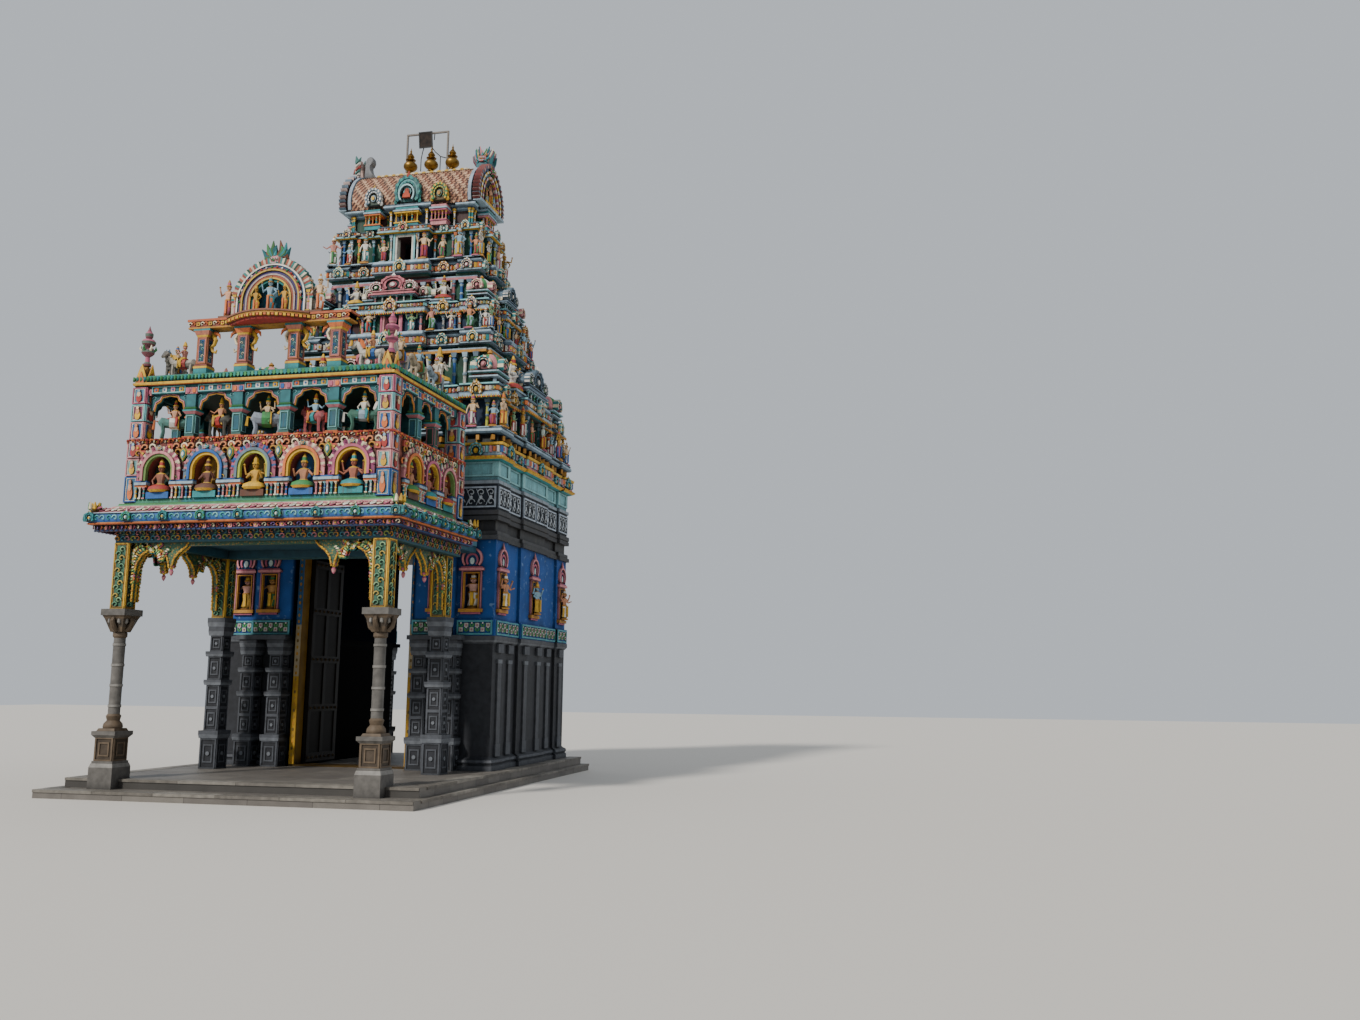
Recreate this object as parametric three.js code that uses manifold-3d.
// A small painted gopuram: a granite gateway with three hollow storeys under a barrel roof, and the
// columned porch in front of it with its eave, niche parapet, open gallery and crowning arch.
// Millimetres, +Z up, X across the front, the front faces -Y. The origin is the centre of the plinth's foot.

import * as THREE from 'three';
import { mergeVertices } from 'three/addons/utils/BufferGeometryUtils.js';
import Module from 'manifold-3d';

const wasm = await Module();
wasm.setup();

// Plinth
const STEP_HALF_X = 3650;
const STEP_HALF_Y = 4920;
const STEP_TOP = 150;
const PLATFORM_HALF_X = 3480;
const PLATFORM_TOP = 320;
const PLATFORM_REAR_Y = 4800;

// Porch plan: the columns stand on a rectangle in front of the tower
const COLUMN_X = 2609;
const COLUMN_Y = -4300;
const REAR_COLUMN_X = 2440;
const REAR_COLUMN_Y = COLUMN_Y + 2844;

// Porch heights
const COLUMN_TOP = 3377;
const BEAM_BOTTOM = 4600;
const CEILING_BOTTOM = 4770;
const EAVE_BOTTOM = 4904;
const EAVE_FASCIA_TOP = 5040;
const EAVE_TOP = 5320;
const EAVE_HALF_X = 3108;
const EAVE_OVERHANG = 465;
const EAVE_REAR_Y = COLUMN_Y + 2944;

// Gallery over the porch
const GALLERY_HALF_X = 2700;
const GALLERY_FRONT_Y = COLUMN_Y - 90;
const GALLERY_REAR_Y = COLUMN_Y + 3138;
const GALLERY_BAY = 980;
const GALLERY_SIDE_BAYS = [730, 1500, 2270].map((y) => COLUMN_Y + y);
const GALLERY_SIDE_POSTS = [1115, 1885].map((y) => COLUMN_Y + y);
const PARAPET_TOP = 6550;
const DECK_THICKNESS = 170;
const PARAPET_THICKNESS = 300;
const NICHE_HALF = 262;
const NICHE_SILL = 5450;
const NICHE_SPRING = 5950;
const NICHE_DEPTH = 200;
const ARCADE_BEAM_BOTTOM = 7440;
const ARCADE_TOP = 7600;
const GALLERY_ROOF_TOP = 7820;
const SPIKE_TOP = 8060;
const PINNACLE_TOP = 8820;

// Crowning arch on the gallery roof
const TORANAM_Y = COLUMN_Y + 170;
const TORANAM_PILLARS = [-1390, -530, 530, 1390];
const TORANAM_BEAM_BOTTOM = 8710;
const TORANAM_BEAM_TOP = 8880;
const TORANAM_HALF_X = 1660;
const TORANAM_ARCH_RADIUS = 800;

// Tower plan
const TOWER_FRONT_Y = COLUMN_Y + 3918;
const TOWER_HALF_X = 3142;
const TOWER_HALF_Y = 2350;
const TOWER_Y = TOWER_FRONT_Y + TOWER_HALF_Y;
const GATE_HALF = 1390;
const BAY_PROJECTION = 130;

// Tower heights
const STONE_TOP = 2970;
const STONE_CORNICE_TOP = 3060;
const PAINTED_TOP = 5070;
const ENTABLATURE_TOP = 6250;
const UPPER_WALL_TOP = 6740;
const TIER_1 = 7470;
const TIER_2 = 9980;
const TIER_3 = 11900;
const GRIVA_FOOT = 12800;
const ROOF_FOOT = 13400;
const ROOF_TOP = 14450;
const RIDGE_TOP = 14540;

// Roof
const ROOF_HALF_X = 1640;
const ROOF_HALF_Y = 680;
const ROOF_SHELL = 150;
const KALASAM_X = [-370, 180, 740];
const KALASAM_HEIGHT = 690;

// Door
const LEAF_THICKNESS = 80;
const LEAF_WIDTH = 1285;
const LEAF_TOP = 4740;
const PIVOT_X = 1250;
const PIVOT_Y = TOWER_FRONT_Y + 400;
const PIVOT_RADIUS = 24;

const CLEARANCE = 0.3;
const FIGURE_SIDES = 4;

const GRANITE = { color: 0x4a4b4d, roughness: 0.8, metalness: 0 };
const STEP_STONE = { color: 0x77736c, roughness: 0.85, metalness: 0 };
const SCULPTURE = { color: 0xc79a86, roughness: 0.6, metalness: 0 };
const TEAL = { color: 0x3f8f96, roughness: 0.55, metalness: 0 };
const PINK = { color: 0xc86f7c, roughness: 0.55, metalness: 0 };
const BLUE = { color: 0x1c5da6, roughness: 0.55, metalness: 0 };
const CYAN = { color: 0x6fb5c4, roughness: 0.6, metalness: 0 };
const STEEL_BLUE = { color: 0x7795a8, roughness: 0.6, metalness: 0 };
const DARK_GREEN = { color: 0x1f3b2c, roughness: 0.6, metalness: 0 };
const MUSTARD = { color: 0xc08a24, roughness: 0.5, metalness: 0 };
const GILT = { color: 0xa8752a, roughness: 0.35, metalness: 0.8 };
const TERRACOTTA = { color: 0xb5745e, roughness: 0.7, metalness: 0 };
const GALVANISED = { color: 0x9a9c9e, roughness: 0.5, metalness: 0.7 };
const LAMP_BLACK = { color: 0x1c1c1c, roughness: 0.5, metalness: 0.2 };

const gopuram = new THREE.Group();

// Solids

function solidFrom(geometry) {
  const bare = geometry.clone();
  bare.deleteAttribute('normal');
  bare.deleteAttribute('uv');
  const merged = mergeVertices(bare, 1e-3);
  const corners = merged.index.array;
  const kept = [];
  for (let i = 0; i < corners.length; i += 3) {
    const [a, b, c] = [corners[i], corners[i + 1], corners[i + 2]];
    if (a !== b && b !== c && a !== c) kept.push(a, b, c);
  }
  const mesh = new wasm.Mesh({
    numProp: 3,
    vertProperties: new Float32Array(merged.attributes.position.array),
    triVerts: new Uint32Array(kept),
  });
  return new wasm.Manifold(mesh);
}

function geometryFrom(solid) {
  const mesh = solid.getMesh();
  const geometry = new THREE.BufferGeometry();
  geometry.setAttribute('position', new THREE.BufferAttribute(mesh.vertProperties, 3));
  geometry.setIndex(new THREE.BufferAttribute(mesh.triVerts, 1));
  geometry.computeVertexNormals();
  return geometry;
}

function join(solids) {
  return solids.reduce((whole, next) => whole.add(next));
}

function cut(solid, tools) {
  return tools.reduce((left, tool) => left.subtract(tool), solid);
}

function place(name, solid, finish) {
  const mesh = new THREE.Mesh(geometryFrom(solid), new THREE.MeshStandardMaterial(finish));
  mesh.name = name;
  gopuram.add(mesh);
}

// A box between two corners.
function block(x0, x1, y0, y1, z0, z1) {
  const geometry = new THREE.BoxGeometry(x1 - x0, y1 - y0, z1 - z0);
  geometry.translate((x0 + x1) / 2, (y0 + y1) / 2, (z0 + z1) / 2);
  return solidFrom(geometry);
}

// A box on a square or oblong foot, centred on x and y.
function pad(x, y, halfX, halfY, z0, z1) {
  return block(x - halfX, x + halfX, y - halfY, y + halfY, z0, z1);
}

// A box on the left (side -1) or right (side 1), between two distances from the middle plane.
function sideBlock(side, near, far, y0, y1, z0, z1) {
  return block(Math.min(side * near, side * far), Math.max(side * near, side * far), y0, y1, z0, z1);
}

// A flat outline of [x, y] corners, stood up from z0 to z1.
function prism(corners, z0, z1) {
  const shape = new THREE.Shape(corners.map(([x, y]) => new THREE.Vector2(x, y)));
  const geometry = new THREE.ExtrudeGeometry(shape, { depth: z1 - z0, bevelEnabled: false });
  geometry.translate(0, 0, z0);
  return solidFrom(geometry);
}

// A block whose foot and top differ: a pedestal, a spike, a hipped roof.
function taper(x, y, foot, top, z0, z1) {
  const sides = new THREE.CylinderGeometry(Math.SQRT1_2 * 2, Math.SQRT1_2 * 2, 1, 4);
  sides.rotateX(Math.PI / 2);
  sides.rotateZ(Math.PI / 4);
  const spots = sides.attributes.position;
  for (let i = 0; i < spots.count; i++) {
    const high = spots.getZ(i) > 0;
    const half = high ? top : foot;
    spots.setXYZ(
      i,
      x + spots.getX(i) * half[0],
      y + spots.getY(i) * half[1],
      high ? z1 : z0,
    );
  }
  return solidFrom(sides);
}

// A turned piece: profile of [radius, z] from the bottom up, starting and ending on the axis.
function turned(x, y, profile, segments = 8) {
  const points = profile.map(([r, z]) => new THREE.Vector2(r, z));
  const geometry = new THREE.LatheGeometry(points, segments);
  geometry.rotateX(Math.PI / 2);
  geometry.translate(x, y, 0);
  return solidFrom(geometry);
}

// An outline of [x, z] corners in a front view, with its face at y0 and its back at y1.
function frontPlate(corners, y0, y1) {
  const shape = new THREE.Shape(corners.map(([x, z]) => new THREE.Vector2(x, z)));
  const geometry = new THREE.ExtrudeGeometry(shape, { depth: y1 - y0, bevelEnabled: false });
  geometry.rotateX(Math.PI / 2);
  geometry.translate(0, y1, 0);
  return solidFrom(geometry);
}

// An outline of [y, z] corners in a side view, between x0 and x1.
function sidePlate(corners, x0, x1) {
  const shape = new THREE.Shape(corners.map(([y, z]) => new THREE.Vector2(y, z)));
  const geometry = new THREE.ExtrudeGeometry(shape, { depth: x1 - x0, bevelEnabled: false });
  geometry.rotateX(Math.PI / 2);
  geometry.rotateZ(Math.PI / 2);
  geometry.translate(x0, 0, 0);
  return solidFrom(geometry);
}

// Half round of points over a centre, from the right foot to the left.
function halfRound(u, z, radius, steps = 8) {
  return Array.from({ length: steps + 1 }, (_, i) => {
    const turn = (Math.PI * i) / steps;
    return [u + radius * Math.cos(turn), z + radius * Math.sin(turn)];
  });
}

function archOutline(u, half, sill, spring, steps = 6) {
  return [[u - half, sill], [u + half, sill], ...halfRound(u, spring, half, steps)];
}

// The round horseshoe of a nasi, kudu or gable: a foot narrower than its widest part.
function horseshoe(u, foot, half, height) {
  const centre = foot + height - half;
  const points = [[u - half * 0.82, foot], [u + half * 0.82, foot]];
  for (let i = 0; i <= 6; i++) {
    const turn = -0.35 + ((Math.PI + 0.7) * i) / 6;
    points.push([u + half * Math.cos(turn), centre + half * Math.sin(turn)]);
  }
  return points;
}

// The tower's stepped plan: corner bays, set-back stretches and a middle bay that stands forward.
function steppedPlan(halfX, halfY, inset = 90, projection = BAY_PROJECTION) {
  const side = (half, out) => {
    const corner = half * 0.3;
    const bay = half * 0.36;
    return [
      [-half, out],
      [-half + corner, out],
      [-half + corner, out - inset],
      [-bay, out - inset],
      [-bay, out + projection],
      [bay, out + projection],
      [bay, out - inset],
      [half - corner, out - inset],
      [half - corner, out],
    ];
  };
  return [
    ...side(halfX, halfY).map(([s, out]) => [s, -out]),
    ...side(halfY, halfX).map(([s, out]) => [out, s]),
    ...side(halfX, halfY).map(([s, out]) => [-s, out]),
    ...side(halfY, halfX).map(([s, out]) => [-out, -s]),
  ].map(([x, y]) => [x, y + TOWER_Y]);
}

function steppedSlab(halfX, halfY, z0, z1, inset, projection) {
  return prism(steppedPlan(halfX, halfY, inset, projection), z0, z1);
}

// Lower step and platform, the platform notched for the front pedestals

place('lower_step', block(-STEP_HALF_X, STEP_HALF_X, -STEP_HALF_Y, STEP_HALF_Y, 0, STEP_TOP), STEP_STONE);

const PEDESTAL_HALF = 245;
const platformFrontY = COLUMN_Y - 40;
const notches = [-1, 1].map((side) =>
  pad(
    side * COLUMN_X,
    COLUMN_Y,
    PEDESTAL_HALF + CLEARANCE,
    PEDESTAL_HALF + CLEARANCE,
    STEP_TOP - 10,
    PLATFORM_TOP + 10,
  ),
);
const platformSlab = block(
  -PLATFORM_HALF_X,
  PLATFORM_HALF_X,
  platformFrontY,
  PLATFORM_REAR_Y,
  STEP_TOP,
  PLATFORM_TOP,
);
place('platform', cut(platformSlab, notches), STEP_STONE);

// Front columns: stepped pedestal, carved foot, round shaft and flared capital

function frontColumn(x) {
  const y = COLUMN_Y;
  return join([
    pad(x, y, PEDESTAL_HALF, PEDESTAL_HALF, STEP_TOP, 560),
    taper(x, y, [PEDESTAL_HALF, PEDESTAL_HALF], [205, 205], 560, 640),
    pad(x, y, 200, 200, 640, 1080),
    pad(x, y, 240, 240, 1080, 1180),
    taper(x, y, [170, 170], [125, 125], 1180, 1380),
    turned(x, y, [
      [0, 1380], [118, 1380], [118, 1420], [106, 1450], [104, 2000], [112, 2010], [112, 2070],
      [102, 2080], [97, 2860], [120, 2890], [120, 2940], [0, 2940],
    ], 12),
    taper(x, y, [125, 125], [215, 215], 2940, 3240),
    pad(x, y, 250, 250, 3240, COLUMN_TOP),
  ]);
}
place('porch_column_front_left', frontColumn(-COLUMN_X), GRANITE);
place('porch_column_front_right', frontColumn(COLUMN_X), GRANITE);

// Rear piers: square blocks stacked on the platform

function stackedPier(x, y, half, z0, z1) {
  const rise = z1 - z0;
  const courses = [
    [0, 0.2, 35], [0.2, 0.25, 60], [0.25, 0.55, 0], [0.55, 0.585, 35], [0.585, 0.74, 0], [0.74, 0.775, 35],
    [0.775, 0.88, -15], [0.88, 1, 35],
  ];
  return join(
    courses.map(([low, high, grow]) => pad(x, y, half + grow, half + grow, z0 + rise * low, z0 + rise * high)),
  );
}
const PIER_HALF = 165;
[['left', -1], ['right', 1]].forEach(([word, side]) => {
  const pier = stackedPier(side * REAR_COLUMN_X, REAR_COLUMN_Y, PIER_HALF, PLATFORM_TOP, COLUMN_TOP);
  place('porch_pier_rear_' + word, pier, GRANITE);
});

// Painted posts over the columns, the beams between them and the ceiling

const POST_HALF = 145;
const ceilingRearY = TOWER_FRONT_Y - BAY_PROJECTION;
const beamOuterX = COLUMN_X + POST_HALF;
const crossBeam = (y) =>
  block(-beamOuterX, beamOuterX, y - POST_HALF, y + POST_HALF, BEAM_BOTTOM, CEILING_BOTTOM);
const sideBeam = (side) =>
  sideBlock(side, REAR_COLUMN_X - POST_HALF, beamOuterX, COLUMN_Y, REAR_COLUMN_Y, BEAM_BOTTOM, CEILING_BOTTOM);
const posts = [
  pad(-COLUMN_X, COLUMN_Y, POST_HALF, POST_HALF, COLUMN_TOP, CEILING_BOTTOM),
  pad(COLUMN_X, COLUMN_Y, POST_HALF, POST_HALF, COLUMN_TOP, CEILING_BOTTOM),
  pad(-REAR_COLUMN_X, REAR_COLUMN_Y, POST_HALF, POST_HALF, COLUMN_TOP, CEILING_BOTTOM),
  pad(REAR_COLUMN_X, REAR_COLUMN_Y, POST_HALF, POST_HALF, COLUMN_TOP, CEILING_BOTTOM),
];
const ceiling = block(
  -beamOuterX,
  beamOuterX,
  COLUMN_Y - POST_HALF,
  ceilingRearY,
  CEILING_BOTTOM,
  EAVE_BOTTOM,
);
place(
  'porch_frame',
  join([crossBeam(COLUMN_Y), crossBeam(REAR_COLUMN_Y), sideBeam(-1), sideBeam(1), ...posts, ceiling]),
  TEAL,
);

// Cusped valances hung in the corners between the posts

const VALANCE_THICKNESS = 90;
const VALANCE_FOOT = 3520;
function cuspedCorner(inner, toMiddle) {
  const across = (step) => inner + toMiddle * step;
  const corners = [
    [across(0), VALANCE_FOOT],
    [across(60), VALANCE_FOOT],
    [across(70), 4000],
    [across(110), 4230],
    [across(210), 4390],
    [across(350), 4470],
    [across(480), 4510],
    [across(600), 4460],
    [across(720), 4380],
    [across(760), 4290],
    [across(800), 4130],
    [across(840), 4130],
    [across(880), 4290],
    [across(960), 4400],
    [across(1120), 4520],
    [across(1180), BEAM_BOTTOM],
    [across(0), BEAM_BOTTOM],
  ];
  return toMiddle > 0 ? corners : corners.reverse();
}
const VALANCE_STRIP = 60;
const CORNER_REACH = 1000;
const VALANCE_X = 2510;
const frontInner = COLUMN_X - POST_HALF - CLEARANCE;
const valanceY = [COLUMN_Y - VALANCE_THICKNESS / 2, COLUMN_Y + VALANCE_THICKNESS / 2];
const stripX = [-frontInner + CORNER_REACH, frontInner - CORNER_REACH];
place(
  'porch_valance_front',
  join([
    frontPlate(cuspedCorner(-frontInner, 1), ...valanceY),
    frontPlate(cuspedCorner(frontInner, -1), ...valanceY),
    block(...stripX, ...valanceY, BEAM_BOTTOM - VALANCE_STRIP, BEAM_BOTTOM),
  ]),
  MUSTARD,
);

const sideInner = [COLUMN_Y + POST_HALF + CLEARANCE, REAR_COLUMN_Y - POST_HALF - CLEARANCE];
function sideValance(x) {
  const across = [x - VALANCE_THICKNESS / 2, x + VALANCE_THICKNESS / 2];
  const strip = [sideInner[0] + CORNER_REACH, sideInner[1] - CORNER_REACH];
  return join([
    sidePlate(cuspedCorner(sideInner[0], 1), ...across),
    sidePlate(cuspedCorner(sideInner[1], -1), ...across),
    block(...across, ...strip, BEAM_BOTTOM - VALANCE_STRIP, BEAM_BOTTOM),
  ]);
}
place('porch_valance_left', sideValance(-VALANCE_X), MUSTARD);
place('porch_valance_right', sideValance(VALANCE_X), MUSTARD);

// Eave: a level fascia with a sloped top, carried back to the tower as a plain slab

const eaveFrontY = COLUMN_Y - EAVE_OVERHANG;
const eaveMiddleY = (eaveFrontY + EAVE_REAR_Y) / 2;
const eaveHalfY = (EAVE_REAR_Y - eaveFrontY) / 2;
const galleryMiddleY = (GALLERY_FRONT_Y + GALLERY_REAR_Y) / 2;
const EAVE_TOP_HALF_X = 2770;
const eaveFascia = block(-EAVE_HALF_X, EAVE_HALF_X, eaveFrontY, EAVE_REAR_Y, EAVE_BOTTOM, EAVE_FASCIA_TOP);
const eaveSlope = taper(
  0,
  eaveMiddleY,
  [EAVE_HALF_X, eaveHalfY],
  [EAVE_TOP_HALF_X, eaveHalfY - 340],
  EAVE_FASCIA_TOP,
  EAVE_TOP,
);
const linkRearY = ceilingRearY - 60;
const linkSlab = block(-EAVE_TOP_HALF_X, EAVE_TOP_HALF_X, COLUMN_Y, linkRearY, EAVE_BOTTOM, EAVE_TOP);
place('porch_eave', join([eaveFascia, eaveSlope, linkSlab]), TEAL);

// Parapet with its niches, and the deck that the riders stand on

const RIM = 60;
const RIM_WIDTH = 130;
const SIDE_NICHE_HALF = NICHE_HALF - 30;
const galleryBays = [-2, -1, 0, 1, 2].map((n) => n * GALLERY_BAY);

// The raised ring over a niche, in the front (frontPlate) or on a side (sidePlate).
function archRim(plate, u, half, face0, face1) {
  const outer = plate(archOutline(u, half + RIM_WIDTH, NICHE_SPRING - 60, NICHE_SPRING), face0, face1);
  const inner = plate(archOutline(u, half, NICHE_SPRING - 100, NICHE_SPRING), face0 - 10, face1 + 10);
  return outer.subtract(inner);
}
const parapetOuter = block(
  -GALLERY_HALF_X,
  GALLERY_HALF_X,
  GALLERY_FRONT_Y,
  GALLERY_REAR_Y,
  EAVE_TOP,
  PARAPET_TOP,
);
const parapetInner = block(
  -GALLERY_HALF_X + PARAPET_THICKNESS,
  GALLERY_HALF_X - PARAPET_THICKNESS,
  GALLERY_FRONT_Y + PARAPET_THICKNESS,
  GALLERY_REAR_Y - PARAPET_THICKNESS,
  EAVE_TOP - 10,
  PARAPET_TOP - DECK_THICKNESS,
);
const niche = (half) => (u) => archOutline(u, half, NICHE_SILL, NICHE_SPRING);
const frontDepth = [GALLERY_FRONT_Y - RIM - 10, GALLERY_FRONT_Y + NICHE_DEPTH];
const rightDepth = [GALLERY_HALF_X - NICHE_DEPTH, GALLERY_HALF_X + RIM + 10];
const leftDepth = [-GALLERY_HALF_X - RIM - 10, -GALLERY_HALF_X + NICHE_DEPTH];
const nicheCuts = [
  ...galleryBays.map(niche(NICHE_HALF)).map((outline) => frontPlate(outline, ...frontDepth)),
  ...GALLERY_SIDE_BAYS.map(niche(SIDE_NICHE_HALF)).flatMap((outline) => [
    sidePlate(outline, ...rightDepth),
    sidePlate(outline, ...leftDepth),
  ]),
];
const rims = [
  ...galleryBays.map((x) => archRim(frontPlate, x, NICHE_HALF, GALLERY_FRONT_Y - RIM, GALLERY_FRONT_Y + 20)),
  ...GALLERY_SIDE_BAYS.flatMap((y) => [
    archRim(sidePlate, y, SIDE_NICHE_HALF, GALLERY_HALF_X - 20, GALLERY_HALF_X + RIM),
    archRim(sidePlate, y, SIDE_NICHE_HALF, -GALLERY_HALF_X - RIM, -GALLERY_HALF_X + 20),
  ]),
];

// Seated figures in their simplest form, one in each niche.
const NICHE_FIGURE = 560;
const NICHE_FIGURE_IN = 90;
const nicheFigureAt = (x, y) => figure(x, y, NICHE_SILL - 10, NICHE_FIGURE);
const nicheFigures = [
  ...galleryBays.map((x) => nicheFigureAt(x, GALLERY_FRONT_Y + NICHE_FIGURE_IN)),
  ...GALLERY_SIDE_BAYS.flatMap((y) => [
    nicheFigureAt(GALLERY_HALF_X - NICHE_FIGURE_IN, y),
    nicheFigureAt(-GALLERY_HALF_X + NICHE_FIGURE_IN, y),
  ]),
];
place(
  'gallery_parapet',
  join([cut(parapetOuter.subtract(parapetInner), nicheCuts), ...rims, ...nicheFigures]),
  PINK,
);

// Arcade of the open gallery: leaning corner posts, slim posts between the bays, and a beam round the top

const ARCADE_POST_HALF = 95;
const ARCADE_DEPTH_HALF = 85;
const CORNER_POST_HALF = 140;
const ARCADE_X = GALLERY_HALF_X - 160;
const ARCADE_FRONT_Y = GALLERY_FRONT_Y + 150;
const ARCADE_REAR_Y = GALLERY_REAR_Y - 150;
const arcadePost = (x, y, halfX, halfY) => pad(x, y, halfX, halfY, PARAPET_TOP, ARCADE_TOP);
const arcadePosts = [
  ...[-1.5, -0.5, 0.5, 1.5].flatMap((n) => [
    arcadePost(n * GALLERY_BAY, ARCADE_FRONT_Y, ARCADE_POST_HALF, ARCADE_DEPTH_HALF),
    arcadePost(n * GALLERY_BAY, ARCADE_REAR_Y, ARCADE_POST_HALF, ARCADE_DEPTH_HALF),
  ]),
  ...GALLERY_SIDE_POSTS.flatMap((y) => [
    arcadePost(-ARCADE_X, y, ARCADE_DEPTH_HALF, ARCADE_POST_HALF),
    arcadePost(ARCADE_X, y, ARCADE_DEPTH_HALF, ARCADE_POST_HALF),
  ]),
];
const cornerPosts = [-1, 1].flatMap((side) =>
  [ARCADE_FRONT_Y, ARCADE_REAR_Y].map((y) =>
    taper(side * ARCADE_X, y, [CORNER_POST_HALF, CORNER_POST_HALF], [125, 125], PARAPET_TOP, ARCADE_TOP),
  ),
);
const arcadeRing = block(
  -ARCADE_X - ARCADE_DEPTH_HALF,
  ARCADE_X + ARCADE_DEPTH_HALF,
  ARCADE_FRONT_Y - ARCADE_DEPTH_HALF,
  ARCADE_REAR_Y + ARCADE_DEPTH_HALF,
  ARCADE_BEAM_BOTTOM,
  ARCADE_TOP,
).subtract(
  block(
    -ARCADE_X + ARCADE_DEPTH_HALF,
    ARCADE_X - ARCADE_DEPTH_HALF,
    ARCADE_FRONT_Y + ARCADE_DEPTH_HALF,
    ARCADE_REAR_Y - ARCADE_DEPTH_HALF,
    ARCADE_BEAM_BOTTOM - 10,
    ARCADE_TOP + 10,
  ),
);

// A bay's head: a spandrel plate with three cusps cut out of it.
function cuspedHead(u, half) {
  const spring = ARCADE_BEAM_BOTTOM - 300;
  return [
    [u - half, spring],
    [u - half * 0.8, spring],
    [u - half * 0.72, spring + 120],
    [u - half * 0.5, spring + 170],
    [u - half * 0.42, spring + 240],
    [u, spring + 275],
    [u + half * 0.42, spring + 240],
    [u + half * 0.5, spring + 170],
    [u + half * 0.72, spring + 120],
    [u + half * 0.8, spring],
    [u + half, spring],
    [u + half, ARCADE_BEAM_BOTTOM + 10],
    [u - half, ARCADE_BEAM_BOTTOM + 10],
  ];
}
const HEAD_THICKNESS = 60;
const bayHalf = GALLERY_BAY / 2 - ARCADE_POST_HALF + 5;
const SIDE_BAY_HALF = 390;
const across = (middle) => [middle - HEAD_THICKNESS / 2, middle + HEAD_THICKNESS / 2];
const heads = [
  ...galleryBays.flatMap((x) =>
    [ARCADE_FRONT_Y, ARCADE_REAR_Y].map((y) => frontPlate(cuspedHead(x, bayHalf), ...across(y))),
  ),
  ...GALLERY_SIDE_BAYS.flatMap((y) =>
    [-ARCADE_X, ARCADE_X].map((x) => sidePlate(cuspedHead(y, SIDE_BAY_HALF), ...across(x))),
  ),
];
place('gallery_arcade', join([arcadeRing, ...arcadePosts, ...cornerPosts, ...heads]), TEAL);

// Gallery roof with its rounded teal edge, and the spikes at the corners

const roofHalfX = GALLERY_HALF_X - 40;
const galleryHalfY = (GALLERY_REAR_Y - GALLERY_FRONT_Y) / 2;
const ROOF_LIP = 60;
const spikeX = roofHalfX - 130;
const spikeY = GALLERY_FRONT_Y + 130;
place(
  'gallery_roof',
  join([
    block(-roofHalfX, roofHalfX, GALLERY_FRONT_Y, GALLERY_REAR_Y, ARCADE_TOP, ARCADE_TOP + ROOF_LIP),
    taper(
      0,
      galleryMiddleY,
      [roofHalfX - 30, galleryHalfY - 30],
      [roofHalfX - 130, galleryHalfY - 130],
      ARCADE_TOP + ROOF_LIP,
      GALLERY_ROOF_TOP,
    ),
    taper(-spikeX, spikeY, [130, 130], [35, 35], ARCADE_TOP, SPIKE_TOP),
    taper(spikeX, spikeY, [130, 130], [35, 35], ARCADE_TOP, SPIKE_TOP),
  ]),
  TEAL,
);

const pinnacleProfile = [
  [0, 0], [70, 0], [45, 90], [45, 150], [120, 230], [60, 310],
  [130, 430], [50, 490], [75, 590], [20, 680], [0, PINNACLE_TOP - SPIKE_TOP],
];
const pinnacle = (x) => turned(x, spikeY, pinnacleProfile.map(([r, z]) => [r, z + SPIKE_TOP]));
place('pinnacle_left', pinnacle(-spikeX), PINK);
place('pinnacle_right', pinnacle(spikeX), PINK);

// Crowning arch: four pillars, a beam with a curved middle, and the horseshoe that stands on it

const TORANAM_PILLAR_HALF = 100;
const toranamFoot = GALLERY_ROOF_TOP + 180;
const toranamCapital = TORANAM_BEAM_BOTTOM - 150;
const toranamPillars = TORANAM_PILLARS.flatMap((x) => [
  pad(x, TORANAM_Y, 135, 120, GALLERY_ROOF_TOP, toranamFoot),
  pad(x, TORANAM_Y, TORANAM_PILLAR_HALF, TORANAM_PILLAR_HALF, toranamFoot, toranamCapital),
  taper(x, TORANAM_Y, [105, 105], [170, 130], toranamCapital, TORANAM_BEAM_BOTTOM),
]);
const toranamBeam = block(
  -TORANAM_HALF_X,
  TORANAM_HALF_X,
  TORANAM_Y - 140,
  TORANAM_Y + 140,
  TORANAM_BEAM_BOTTOM,
  TORANAM_BEAM_TOP,
);
const BALCONY_HALF_X = 820;
const balconyFront = Array.from({ length: 9 }, (_, i) => {
  const share = i / 8;
  const x = -BALCONY_HALF_X + 2 * BALCONY_HALF_X * share;
  return [x, TORANAM_Y - 130 - 330 * Math.sin(Math.PI * share)];
});
const balcony = prism(
  [...balconyFront, [BALCONY_HALF_X, TORANAM_Y + 100], [-BALCONY_HALF_X, TORANAM_Y + 100]],
  TORANAM_BEAM_BOTTOM + 20,
  TORANAM_BEAM_TOP,
);
place('toranam_frame', join([...toranamPillars, toranamBeam, balcony]), TERRACOTTA);

const archCentreZ = TORANAM_BEAM_TOP + 300;
const archBackY = TORANAM_Y + 90;
const archRing = (radius, y0) =>
  frontPlate(
    [[-radius, TORANAM_BEAM_TOP], [radius, TORANAM_BEAM_TOP], ...halfRound(0, archCentreZ, radius, 16)],
    y0,
    archBackY,
  );
const archHollow = frontPlate(
  [[-380, TORANAM_BEAM_TOP + 60], [380, TORANAM_BEAM_TOP + 60], ...halfRound(0, archCentreZ, 380, 12)],
  TORANAM_Y - 200,
  TORANAM_Y + 30,
);
const crownHead = turned(0, TORANAM_Y + 10, [
  [0, archCentreZ + 740], [130, archCentreZ + 740], [170, archCentreZ + 860], [120, archCentreZ + 960],
  [60, archCentreZ + 1080], [0, archCentreZ + 1120],
], 8);
const INNER_RING_RADIUS = 640;
const archPlates = join([
  archRing(TORANAM_ARCH_RADIUS, TORANAM_Y - 30),
  archRing(INNER_RING_RADIUS, TORANAM_Y - 90),
  crownHead,
]);
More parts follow.
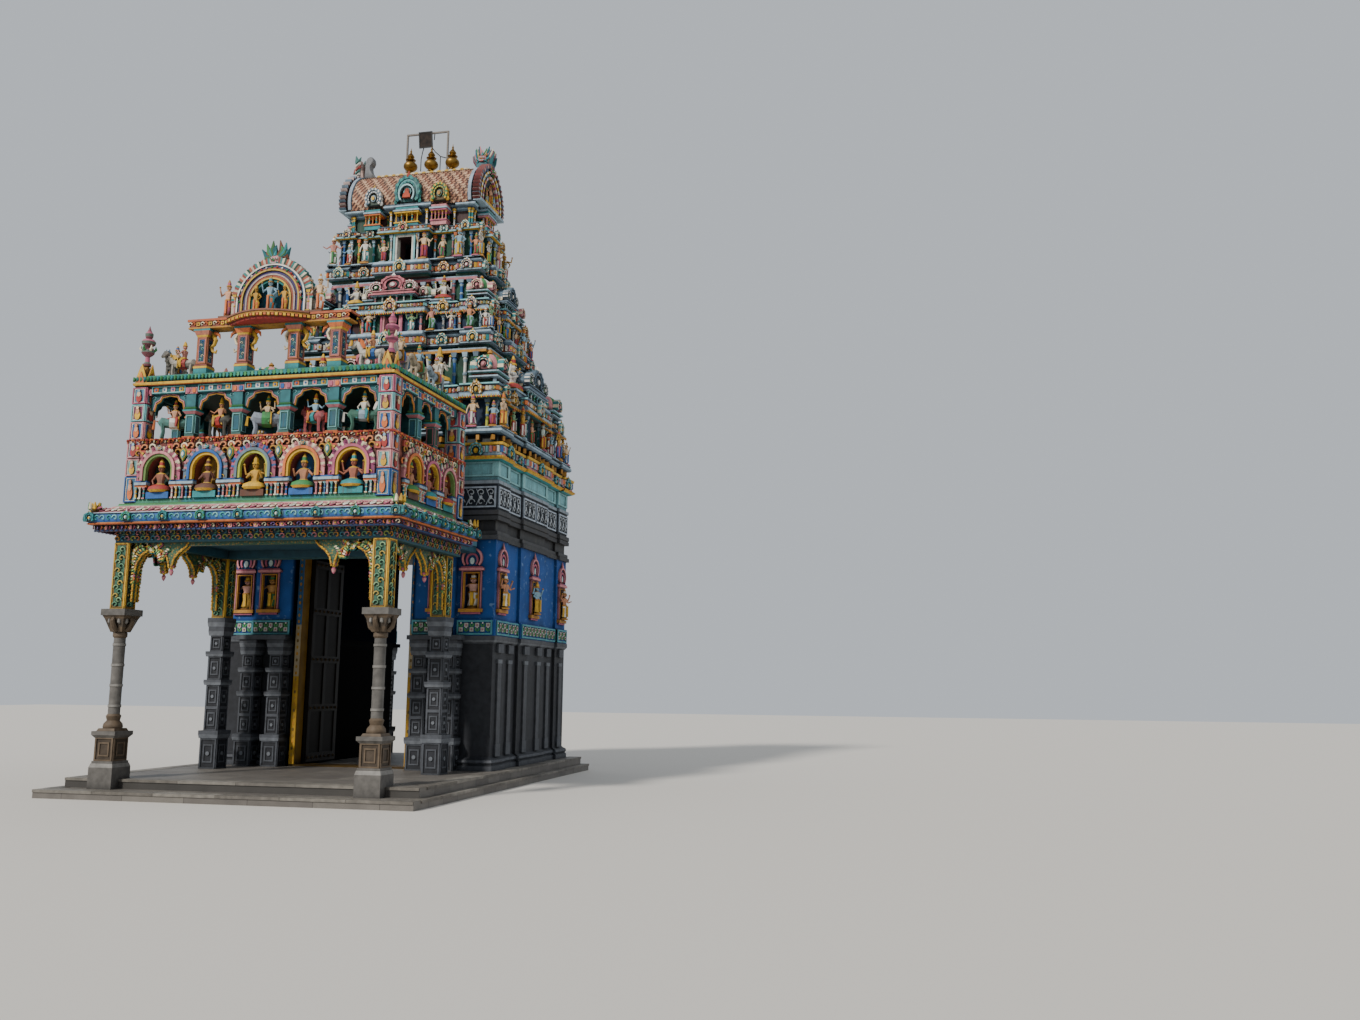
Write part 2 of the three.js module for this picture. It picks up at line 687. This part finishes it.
const archPlinth = block(-1080, 1080, TORANAM_Y - 130, archBackY, TORANAM_BEAM_TOP, TORANAM_BEAM_TOP + 50);
// Each figure on the arch's plinth: place across, distance in front of the arch, height.
const ARCH_FIGURES = [[0, 110, 720], [-330, 110, 480], [330, 110, 480], [-960, 0, 680], [960, 0, 680]];
const archFigures = ARCH_FIGURES.map(([x, ahead, height]) =>
  figure(x, TORANAM_Y - ahead, TORANAM_BEAM_TOP + 40, height),
);
place('toranam_arch', join([archPlates.subtract(archHollow), archPlinth, ...archFigures]), PINK);

// Beasts and riders along the edge of the gallery roof, on a thin kerb
const kerbFrontY = COLUMN_Y + 330;
const kerbRearY = GALLERY_REAR_Y - 250;
const KERB_X = 2380;
const KERB_HALF = 70;
const KERB_TOP = GALLERY_ROOF_TOP + 25;
const kerbOutX = KERB_X + KERB_HALF;
const kerbInX = KERB_X - KERB_HALF;
const kerb = block(-kerbOutX, kerbOutX, kerbFrontY - 10, kerbRearY, GALLERY_ROOF_TOP, KERB_TOP).subtract(
  block(-kerbInX, kerbInX, kerbFrontY + 2 * KERB_HALF, kerbRearY + 10, GALLERY_ROOF_TOP - 10, KERB_TOP + 10),
);

// A four-legged beast in its simplest form, standing along X or along Y.
function beast(x, y, z, length, height, alongX) {
  const girth = height * 0.2;
  const trunk = alongX
    ? pad(x, y, length / 2, girth, z + height * 0.45, z + height)
    : pad(x, y, girth, length / 2, z + height * 0.45, z + height);
  const legs = [-1, 1].map((end) => {
    const shift = end * (length / 2 - height * 0.14);
    const legX = x + (alongX ? shift : 0);
    const legY = y + (alongX ? 0 : shift);
    return pad(legX, legY, height * 0.13, height * 0.13, z, z + height * 0.5);
  });
  return join([trunk, ...legs]);
}
place(
  'roof_beasts',
  join([
    kerb,
    ...[-1, 1].flatMap((side) => [
      beast(side * 1980, kerbFrontY + 60, GALLERY_ROOF_TOP + 20, 620, 430, true),
      ...[700, 1500, 2300].flatMap((y) => [
        beast(side * KERB_X, COLUMN_Y + y, GALLERY_ROOF_TOP + 20, 520, 380, false),
        figure(side * KERB_X, COLUMN_Y + y, GALLERY_ROOF_TOP + 380, 420),
      ]),
    ]),
  ]),
  SCULPTURE,
);

// Gateway base: granite masses on both sides of the passage, with square piers on the front and back

const baseRearY = TOWER_FRONT_Y + 2 * TOWER_HALF_Y;
function baseSide(side, z0, z1, grow = 0) {
  const full = steppedSlab(TOWER_HALF_X + grow, TOWER_HALF_Y + grow, z0, z1, 60, 0);
  const reach = TOWER_HALF_X + 1000;
  return full.intersect(sideBlock(side, GATE_HALF, reach, TOWER_Y - reach, TOWER_Y + reach, z0 - 10, z1 + 10));
}
const BASE_FOOT_TOP = 560;
const PIER_PLACES = [1640, 2290];
const PIER_PROUD = 130;
const PIER_SHELF = 370;
const PIER_SHELF_X = 2560;
function basePiers(side) {
  return PIER_PLACES.flatMap((x) =>
    [TOWER_FRONT_Y - PIER_PROUD, baseRearY + PIER_PROUD].map((y) =>
      stackedPier(side * x, y, PIER_HALF, PLATFORM_TOP, STONE_TOP),
    ),
  );
}
function baseStone(side) {
  const shelf = (y0, y1) => sideBlock(side, GATE_HALF, PIER_SHELF_X, y0, y1, STONE_TOP, STONE_CORNICE_TOP);
  return join([
    baseSide(side, PLATFORM_TOP, BASE_FOOT_TOP, 90),
    baseSide(side, BASE_FOOT_TOP, STONE_TOP),
    ...basePiers(side),
    baseSide(side, STONE_TOP, STONE_CORNICE_TOP, 60),
    shelf(TOWER_FRONT_Y - PIER_SHELF, TOWER_FRONT_Y + 100),
    shelf(baseRearY - 100, baseRearY + PIER_SHELF),
  ]);
}
place('base_stone_left', baseStone(-1), GRANITE);
place('base_stone_right', baseStone(1), GRANITE);

// Painted wall over the stone, with a band at its foot and shallow niches

const WALL_NICHE_DEPTH = 180;
const FLORAL_BAND_TOP = 3400;
const PAINTED_BAY_X = 2300;
const PAINTED_BAY_PROUD = 130;
// Each niche: place across, and how far the face it is cut into stands forward.
const WALL_NICHES = [[1960, PAINTED_BAY_PROUD], [2640, 0]];
function paintedWall(side) {
  const niches = WALL_NICHES.flatMap(([x, proud]) => {
    const outline = archOutline(side * x, 170, 3620, 4420);
    const depth = WALL_NICHE_DEPTH - proud;
    return [
      frontPlate(outline, TOWER_FRONT_Y - 200, TOWER_FRONT_Y + depth),
      frontPlate(outline, baseRearY - depth, baseRearY + 200),
    ];
  });
  const bay = sideBlock(
    side,
    GATE_HALF,
    PAINTED_BAY_X,
    TOWER_FRONT_Y - PAINTED_BAY_PROUD,
    baseRearY + PAINTED_BAY_PROUD,
    STONE_CORNICE_TOP,
    PAINTED_TOP,
  );
  return join([
    cut(baseSide(side, STONE_CORNICE_TOP, PAINTED_TOP).add(bay), niches),
    baseSide(side, STONE_CORNICE_TOP, FLORAL_BAND_TOP, 50),
  ]);
}
place('painted_wall_left', paintedWall(-1), BLUE);
place('painted_wall_right', paintedWall(1), BLUE);

// Entablature over walls and passage: black stone mouldings, then the scroll frieze

place(
  'entablature',
  join([
    steppedSlab(TOWER_HALF_X + 60, TOWER_HALF_Y + 60, PAINTED_TOP, 5250, 60),
    steppedSlab(TOWER_HALF_X - 40, TOWER_HALF_Y - 40, 5250, 5480, 60),
    steppedSlab(TOWER_HALF_X + 50, TOWER_HALF_Y + 50, 5480, 5690, 60),
    steppedSlab(TOWER_HALF_X, TOWER_HALF_Y, 5690, ENTABLATURE_TOP, 60),
  ]),
  GRANITE,
);
place(
  'upper_wall',
  join([
    steppedSlab(TOWER_HALF_X + 30, TOWER_HALF_Y + 30, ENTABLATURE_TOP, 6330, 60),
    steppedSlab(TOWER_HALF_X - 20, TOWER_HALF_Y - 20, 6330, UPPER_WALL_TOP, 60),
  ]),
  CYAN,
);

// Main cornice under the first storey: frieze with horseshoe plates, dark recess, blue ledge

function nasiRow(halfX, halfY, z, size, places, thickness) {
  const frontY = TOWER_Y - halfY;
  const rearY = TOWER_Y + halfY;
  const frontPlates = places.flatMap(([share, out]) => {
    const outline = horseshoe(share * halfX, z, size, size * 2);
    return [
      frontPlate(outline, frontY - out - thickness, frontY - out + 20),
      frontPlate(outline, rearY + out - 20, rearY + out + thickness),
    ];
  });
  const sidePlates = places.flatMap(([share, out]) => {
    const outline = horseshoe(TOWER_Y + share * halfY, z, size, size * 2);
    return [
      sidePlate(outline, halfX + out - 20, halfX + out + thickness),
      sidePlate(outline, -halfX - out - thickness, -halfX - out + 20),
    ];
  });
  return [...frontPlates, ...sidePlates];
}
const CORNER_AND_BAY = [[-0.85, 0], [0, BAY_PROJECTION], [0.85, 0]];
place(
  'base_cornice',
  join([
    steppedSlab(TOWER_HALF_X + 130, TOWER_HALF_Y + 130, UPPER_WALL_TOP, 7130),
    steppedSlab(TOWER_HALF_X - 90, TOWER_HALF_Y - 90, 7130, 7330),
    steppedSlab(TOWER_HALF_X + 60, TOWER_HALF_Y + 60, 7330, TIER_1),
    ...nasiRow(TOWER_HALF_X + 130, TOWER_HALF_Y + 130, 6780, 150, CORNER_AND_BAY, 50),
  ]),
  TEAL,
);

// Storeys

// A hollow wall on the stepped plan; the room inside runs from its floor up into the storey's upper wall.
// Corbels, where given as inner half sizes, step in under the wall above.
const CORBEL_RISE = 100;
function storeyWall(halfX, halfY, z0, z1, thickness, projection = BAY_PROJECTION, corbel = null) {
  const shell = steppedSlab(halfX, halfY, z0, z1, 90, projection);
  const room = block(
    -halfX + thickness,
    halfX - thickness,
    TOWER_Y - halfY + thickness,
    TOWER_Y + halfY - thickness,
    z0 - 10,
    corbel ? z1 - CORBEL_RISE : z1 + 10,
  );
  return cut(shell, corbel ? [room, pad(0, TOWER_Y, ...corbel, z0 - 10, z1 + 10)] : [room]);
}

// A doorway in the front and in the back. Each frame stands proud of the middle bay, and each opening runs
// through frame and wall.
function doorways(halfY, thickness, half, sill, top, jamb, proud, inward = 20) {
  const ends = (side, inside, outside) => {
    const a = TOWER_Y + side * (halfY - thickness - inside);
    const b = TOWER_Y + side * (halfY + BAY_PROJECTION + outside);
    return [Math.min(a, b), Math.max(a, b)];
  };
  const frames = [-1, 1].map((side) =>
    block(-half - jamb, half + jamb, ...ends(side, 0, proud), sill - 20, top + jamb),
  );
  const openings = [-1, 1].map((side) => block(-half, half, ...ends(side, inward, proud + 20), sill, top));
  const around = (outward) =>
    [-1, 1].map((side) =>
      block(
        -half - jamb - CLEARANCE,
        half + jamb + CLEARANCE,
        ...ends(side, 20, outward),
        sill - 30,
        top + jamb + CLEARANCE,
      ),
    );
  return { frames, openings, clear: around(proud + CLEARANCE), approach: around(proud + 200) };
}

function wallWithDoors(wall, doors) {
  return cut(join([wall, ...doors.frames]), doors.openings);
}

// A corner shrine: square body, overhanging ledge, ribbed dome and bud.
function kuta(x, y, half, z0, rise) {
  const top = z0 + rise;
  return join([
    pad(x, y, half, half, z0, z0 + rise * 0.34),
    pad(x, y, half * 1.15, half * 1.15, z0 + rise * 0.34, z0 + rise * 0.42),
    turned(x, y, [
      [0, z0 + rise * 0.42], [half * 0.9, z0 + rise * 0.42], [half * 1.02, z0 + rise * 0.56],
      [half * 0.75, z0 + rise * 0.78], [half * 0.12, z0 + rise * 0.88], [0, top],
    ], 8),
  ]);
}

// A middle shrine: oblong body under a short barrel roof with a horseshoe face.
function sala(y0, y1, half, z0, rise) {
  return join([
    block(-half, half, y0, y1, z0, z0 + rise * 0.3),
    frontPlate(horseshoe(0, z0 + rise * 0.3, half * 0.62, rise * 0.7), y0 - 40, y1),
    block(-half * 1.1, half * 1.1, y0 - 30, y1, z0 + rise * 0.3, z0 + rise * 0.4),
  ]);
}
function sideSala(x0, x1, half, z0, rise) {
  return join([
    block(x0, x1, TOWER_Y - half, TOWER_Y + half, z0, z0 + rise * 0.3),
    sidePlate(horseshoe(TOWER_Y, z0 + rise * 0.3, half * 0.62, rise * 0.7), x0, x1),
    block(x0, x1, TOWER_Y - half * 1.1, TOWER_Y + half * 1.1, z0 + rise * 0.3, z0 + rise * 0.4),
  ]);
}

// The band over a storey: cornice, horseshoe plates, ledge, corner and middle shrines, seated figures.
function shrineBand(halfX, halfY, innerX, innerY, z0, ledge, top, seats) {
  const cornerHalf = (halfX - innerX) * 0.46;
  const salaHalf = halfX * 0.27;
  const out = BAY_PROJECTION;
  const ring = join([
    steppedSlab(halfX + 50, halfY + 50, z0, z0 + 190),
    steppedSlab(halfX + 20, halfY + 20, z0 + 190, ledge),
  ]).subtract(
    block(-innerX, innerX, TOWER_Y - innerY, TOWER_Y + innerY, z0 - 10, ledge + 10),
  );
  const corners = [-1, 1].flatMap((sideX) =>
    [-1, 1].map((sideY) =>
      kuta(
        sideX * (halfX - cornerHalf - 30),
        TOWER_Y + sideY * (halfY - cornerHalf - 30),
        cornerHalf,
        ledge - 10,
        top - ledge,
      ),
    ),
  );
  const reachY = [TOWER_Y - halfY - out + 60, TOWER_Y - innerY - 80];
  const backY = [TOWER_Y + innerY + 80, TOWER_Y + halfY + out - 60];
  const middles = [
    sala(reachY[0], reachY[1], salaHalf, ledge - 10, top - ledge),
    sala(backY[0] + 40, backY[1], salaHalf, ledge - 10, top - ledge),
    sideSala(innerX + 80, halfX + out - 60, halfY * 0.27, ledge - 10, top - ledge),
    sideSala(-halfX - out + 60, -innerX - 80, halfY * 0.27, ledge - 10, top - ledge),
  ];
  const seated = [-1, 1].flatMap((sideX) =>
    [-1, 1].flatMap((sideY) =>
      seats.places.map(([x, y]) => figure(sideX * x, TOWER_Y + sideY * y, ledge - 10, seats.height)),
    ),
  );
  return join([
    ring,
    ...corners,
    ...middles,
    ...seated,
    ...nasiRow(halfX + 50, halfY + 50, z0 + 20, 100, [[0, out]], 40),
  ]);
}

// The big cornice that closes a storey and carries the next.
function storeyCornice(halfX, halfY, z0, z1) {
  const rise = z1 - z0;
  return join([
    steppedSlab(halfX - 40, halfY - 40, z0, z0 + rise * 0.25),
    steppedSlab(halfX + 40, halfY + 40, z0 + rise * 0.25, z0 + rise * 0.7),
    steppedSlab(halfX - 20, halfY - 20, z0 + rise * 0.7, z1),
    ...nasiRow(halfX + 40, halfY + 40, z0 + rise * 0.28, rise * 0.22, [[0, BAY_PROJECTION]], 40),
  ]);
}

// A standing or seated figure in its simplest form: robe, chest, head and crown.
function figure(x, y, z, height) {
  const w = height * 0.19;
  return turned(x, y, [
    [0, z], [w, z], [w * 0.72, z + height * 0.42], [w * 1.15, z + height * 0.66],
    [w * 0.5, z + height * 0.82], [0, z + height],
  ], FIGURE_SIDES);
}

// Figures stand on a thin ledge that rings the storey, cut clear of the wall behind them.
function figureRing(ring, wall, z, keepOff) {
  const [halfX, halfY] = ring.half;
  const width = 110;
  const ledge = block(-halfX, halfX, TOWER_Y - halfY, TOWER_Y + halfY, z, z + 25).subtract(
    block(-halfX + width, halfX - width, TOWER_Y - halfY + width, TOWER_Y + halfY - width, z - 10, z + 35),
  );
  const midX = halfX - width / 2;
  const midY = halfY - width / 2;
  const figures = [
    ...ring.front.flatMap((share) => [
      figure(share * midX, TOWER_Y - midY, z + 20, ring.height),
      figure(share * midX, TOWER_Y + midY, z + 20, ring.height),
    ]),
    ...ring.sides.flatMap((share) => [
      figure(midX, TOWER_Y + share * midY, z + 20, ring.height),
      figure(-midX, TOWER_Y + share * midY, z + 20, ring.height),
    ]),
  ];
  const room = steppedSlab(wall[0] + CLEARANCE, wall[1] + CLEARANCE, z - 10, z + ring.height + 100);
  return cut(join([ledge, ...figures]), [room, ...keepOff]);
}

// First storey
const WALL_1 = [2840, 2050];
const WALL_1_THICKNESS = 450;
const BAND_1_FOOT = 8160;
const UPPER_1_TOP = 9550;
const FIGURES_1 = {
  half: [3130, 2340],
  height: 620,
  front: [-0.9, -0.62, -0.2, 0.2, 0.62, 0.9],
  sides: [-0.6, -0.2, 0.2, 0.6],
};
const UPPER_1 = [2380, 1340];
const UPPER_1_THICKNESS = 400;
const corbel1 = UPPER_1.map((half) => half - UPPER_1_THICKNESS);
const wall1 = storeyWall(...WALL_1, TIER_1, BAND_1_FOOT, WALL_1_THICKNESS, BAY_PROJECTION, corbel1);
const doors1 = doorways(WALL_1[1], WALL_1_THICKNESS, 200, TIER_1 + 20, 8060, 60, 40);
place('tier_1_wall', wallWithDoors(wall1, doors1), DARK_GREEN);
const SEATS_1 = { places: [[1430, 1760], [2800, 800]], height: 700 };
place('tier_1_shrines', shrineBand(3000, 2210, 2420, 1450, BAND_1_FOOT, 8500, 9300, SEATS_1), TEAL);
place('tier_1_upper_wall', storeyWall(...UPPER_1, BAND_1_FOOT, UPPER_1_TOP, UPPER_1_THICKNESS, 0), DARK_GREEN);
place('tier_1_figures', figureRing(FIGURES_1, WALL_1, TIER_1, doors1.clear), SCULPTURE);
place('cornice_2', storeyCornice(2440, 1400, UPPER_1_TOP, TIER_2), STEEL_BLUE);

// Second storey
const WALL_2 = [2200, 1140];
const WALL_2_THICKNESS = 380;
const BAND_2_FOOT = 10450;
const UPPER_2_TOP = 11500;
const FIGURES_2 = {
  half: [2400, 1390],
  height: 420,
  front: [-0.92, -0.6, -0.22, 0.22, 0.6, 0.92],
  sides: [-0.5, 0, 0.5],
};
const UPPER_2 = [1840, 730];
const UPPER_2_THICKNESS = 300;
const corbel2 = UPPER_2.map((half) => half - UPPER_2_THICKNESS);
const wall2 = storeyWall(...WALL_2, TIER_2, BAND_2_FOOT, WALL_2_THICKNESS, BAY_PROJECTION, corbel2);
const doors2 = doorways(WALL_2[1], WALL_2_THICKNESS, 185, TIER_2 + 20, 10620, 60, 60, 400);
const SEATS_2 = { places: [[1100, 980], [2090, 440]], height: 500 };
const band2 = shrineBand(2290, 1230, 1850, 740, BAND_2_FOOT, 10760, 11380, SEATS_2);
const upperWall2 = storeyWall(...UPPER_2, BAND_2_FOOT, UPPER_2_TOP, UPPER_2_THICKNESS, 0);
place('tier_2_wall', wallWithDoors(wall2, doors2), PINK);
place('tier_2_shrines', cut(band2, [...doors2.approach, ...doors2.openings]), PINK);
place('tier_2_upper_wall', cut(upperWall2, [...doors2.clear, ...doors2.openings]), DARK_GREEN);
place('tier_2_figures', figureRing(FIGURES_2, WALL_2, TIER_2, doors2.clear), SCULPTURE);
place('cornice_3', storeyCornice(1920, 860, UPPER_2_TOP, TIER_3), STEEL_BLUE);

// Third storey
const WALL_3 = [1690, 680];
const WALL_3_THICKNESS = 280;
const WALL_3_TOP = 12600;
const FIGURES_3 = {
  half: [1900, 900],
  height: 560,
  front: [-0.92, -0.58, -0.24, 0.24, 0.58, 0.92],
  sides: [-0.4, 0.4],
};
const wall3 = storeyWall(...WALL_3, TIER_3, WALL_3_TOP, WALL_3_THICKNESS);
const doors3 = doorways(WALL_3[1], WALL_3_THICKNESS, 190, TIER_3 + 20, 12530, 50, 50);
place('tier_3_wall', wallWithDoors(wall3, doors3), DARK_GREEN);
place('tier_3_cornice', storeyCornice(1790, 780, WALL_3_TOP, GRIVA_FOOT), STEEL_BLUE);
place('tier_3_figures', figureRing(FIGURES_3, WALL_3, TIER_3, doors3.clear), SCULPTURE);

// Neck under the roof
const NECK_TOP = 13300;
place(
  'griva',
  join([steppedSlab(1540, 560, GRIVA_FOOT, NECK_TOP), steppedSlab(1660, 680, NECK_TOP, ROOF_FOOT)]),
  TEAL,
);

// Barrel roof: a horseshoe vault along X, hollow over the neck

function roofProfile(grow) {
  const half = ROOF_HALF_Y + grow;
  const top = ROOF_TOP + grow;
  const rise = top - ROOF_FOOT;
  const shares = [
    [1, 0], [1.06, 0.16], [1.04, 0.34], [0.95, 0.52], [0.78, 0.71], [0.5, 0.88], [0.2, 0.98],
  ];
  const right = shares.map(([across, up]) => [TOWER_Y + half * across, ROOF_FOOT + rise * up]);
  const left = shares.map(([across, up]) => [TOWER_Y - half * across, ROOF_FOOT + rise * up]).reverse();
  return [...right, [TOWER_Y, top], ...left];
}
const vault = sidePlate(roofProfile(0), -ROOF_HALF_X, ROOF_HALF_X).subtract(
  sidePlate(roofProfile(-ROOF_SHELL), -ROOF_HALF_X - 10, ROOF_HALF_X + 10),
);
// Horseshoe plates along the roof's foot, front and back: place across and half width.
const DORMERS = [[-880, 190], [0, 260], [820, 190]];
const DORMER_REACH = [60, 90];
const dormers = DORMERS.flatMap(([x, half]) => {
  const outline = horseshoe(x, ROOF_FOOT, half, half * 2.1);
  const frontY = TOWER_Y - ROOF_HALF_Y;
  const rearY = TOWER_Y + ROOF_HALF_Y;
  const [inside, outside] = DORMER_REACH;
  return [
    frontPlate(outline, frontY - outside, frontY + inside),
    frontPlate(outline, rearY - inside, rearY + outside),
  ];
});
place('roof_barrel', join([vault, ...dormers]), TERRACOTTA);

// Gables: horseshoe plates that close the vault's ends, with a stepped ring
const GABLE_GROWTH = 70;
function gable(side) {
  const plate = (grow, x0, x1) =>
    sidePlate(roofProfile(grow), Math.min(side * x0, side * x1), Math.max(side * x0, side * x1));
  const x = ROOF_HALF_X;
  return join([plate(GABLE_GROWTH, x, x + 130), plate(-110, x + 130, x + 190)]).subtract(
    plate(-230, x + 80, x + 300),
  );
}
place('gable_left', gable(-1), STEEL_BLUE);
place('gable_right', gable(1), STEEL_BLUE);

const RIDGE_HALF = [1180, 110];
const ridgeBar = pad(0, TOWER_Y, ...RIDGE_HALF, ROOF_TOP - 30, RIDGE_TOP);
const underRoof = sidePlate(roofProfile(CLEARANCE), -ROOF_HALF_X, ROOF_HALF_X);
place('roof_ridge', ridgeBar.subtract(underRoof), MUSTARD);

// Kalasams: turned metal finials on the ridge
const kalasamProfile = [
  [0, 0], [105, 0], [60, 60], [150, 120], [175, 200], [140, 280], [55, 340],
  [110, 400], [60, 450], [80, 500], [20, 610], [0, KALASAM_HEIGHT],
];
KALASAM_X.forEach((x, i) => {
  const profile = kalasamProfile.map(([r, z]) => [r, z + RIDGE_TOP]);
  place('kalasam_' + (i + 1), turned(x, TOWER_Y, profile), GILT);
});

// Roof-end finials: horned heads that rise behind the gables
function roofFinial(side) {
  const x = (out) => side * (ROOF_HALF_X + out);
  const z = (up) => ROOF_TOP + GABLE_GROWTH + up;
  const leaf = [
    [x(-330), z(0)], [x(130), z(0)], [x(170), z(220)], [x(90), z(420)], [x(40), z(560)],
    [x(-40), z(430)], [x(-130), z(330)], [x(-250), z(500)], [x(-340), z(430)], [x(-300), z(200)],
  ];
  const outline = side > 0 ? leaf : leaf.reverse();
  const gableHump = sidePlate(roofProfile(GABLE_GROWTH + CLEARANCE), -ROOF_HALF_X - 300, ROOF_HALF_X + 300);
  return frontPlate(outline, TOWER_Y - 110, TOWER_Y + 110).subtract(gableHump);
}
place('roof_finial_left', roofFinial(-1), STEEL_BLUE);
place('roof_finial_right', roofFinial(1), STEEL_BLUE);

// Lamp frame over the ridge
const LAMP_POST_X = 540;
const LAMP_BAR_HALF = 20;
const LAMP_FRAME_Y = TOWER_Y + 130;
const LAMP_FRAME_TOP = 15650;
const lampPosts = [-1, 1].map((side) =>
  pad(side * LAMP_POST_X, LAMP_FRAME_Y, LAMP_BAR_HALF, LAMP_BAR_HALF, ROOF_TOP - 80, LAMP_FRAME_TOP),
);
const lampBar = pad(
  0,
  LAMP_FRAME_Y,
  LAMP_POST_X + LAMP_BAR_HALF,
  LAMP_BAR_HALF,
  LAMP_FRAME_TOP - 2 * LAMP_BAR_HALF,
  LAMP_FRAME_TOP,
);
const lampBackY = LAMP_FRAME_Y - LAMP_BAR_HALF - CLEARANCE;
place('lamp_frame', join([...lampPosts, lampBar]).subtract(underRoof), GALVANISED);
place(
  'flood_lamp',
  block(-180, 180, lampBackY - 90, lampBackY, LAMP_FRAME_TOP - 420, LAMP_FRAME_TOP - 20),
  LAMP_BLACK,
);

// Gate: posts and lintel, and two leaves that turn on pivots

const FRAME_FRONT_Y = TOWER_FRONT_Y + 40;
const FRAME_BACK_Y = TOWER_FRONT_Y + 300;
const FRAME_INNER = 1255;
const LINTEL_BOTTOM = 4790;
const FRAME_TOP = 4930;
const SILL_TOP = PLATFORM_TOP + 30;
const SOCKET_CLEARANCE = 2;
const SOCKET_FLOOR = PLATFORM_TOP + 5;
const PIVOT_TOP = 4840;
const socket = (side, z0, z1) => {
  const radius = PIVOT_RADIUS + SOCKET_CLEARANCE;
  return turned(side * PIVOT_X, PIVOT_Y, [[0, z0], [radius, z0], [radius, z1], [0, z1]], 16);
};
const jamb = (side) =>
  sideBlock(side, FRAME_INNER, GATE_HALF - CLEARANCE, FRAME_FRONT_Y, FRAME_BACK_Y, PLATFORM_TOP, FRAME_TOP);
const crossBar = (z0, z1) => block(-FRAME_INNER - 20, FRAME_INNER + 20, FRAME_FRONT_Y, PIVOT_Y + 100, z0, z1);
place(
  'door_frame',
  cut(
    join([jamb(-1), jamb(1), crossBar(LINTEL_BOTTOM, FRAME_TOP), crossBar(PLATFORM_TOP, SILL_TOP)]),
    [-1, 1].flatMap((side) => [
      socket(side, SOCKET_FLOOR, SILL_TOP + 30),
      socket(side, LINTEL_BOTTOM - 90, PIVOT_TOP + 10),
    ]),
  ),
  MUSTARD,
);

const LEAF_FOOT = PLATFORM_TOP + 50;
function doorLeaf(side) {
  const half = LEAF_THICKNESS / 2;
  const hingeX = side * PIVOT_X;
  const nearY = PIVOT_Y - half;
  const panel = block(hingeX - half, hingeX + half, nearY, nearY + LEAF_WIDTH, LEAF_FOOT, LEAF_TOP);
  const low = SOCKET_FLOOR + CLEARANCE;
  const profile = [[0, low], [PIVOT_RADIUS, low], [PIVOT_RADIUS, PIVOT_TOP], [0, PIVOT_TOP]];
  return panel.add(turned(hingeX, PIVOT_Y, profile, 16));
}
place('door_leaf_left', doorLeaf(-1), MUSTARD);
place('door_leaf_right', doorLeaf(1), MUSTARD);

// Riders on their beasts in the gallery's bays

const riderY = GALLERY_FRONT_Y + 370;
const riderLedge = pad(0, riderY, 2300, 110, PARAPET_TOP, PARAPET_TOP + 60);
place(
  'gallery_riders',
  join([
    riderLedge,
    ...galleryBays.flatMap((x) => [
      beast(x, riderY, PARAPET_TOP + 50, 560, 380, true),
      figure(x, riderY, PARAPET_TOP + 400, 380),
    ]),
  ]),
  SCULPTURE,
);

export default gopuram;
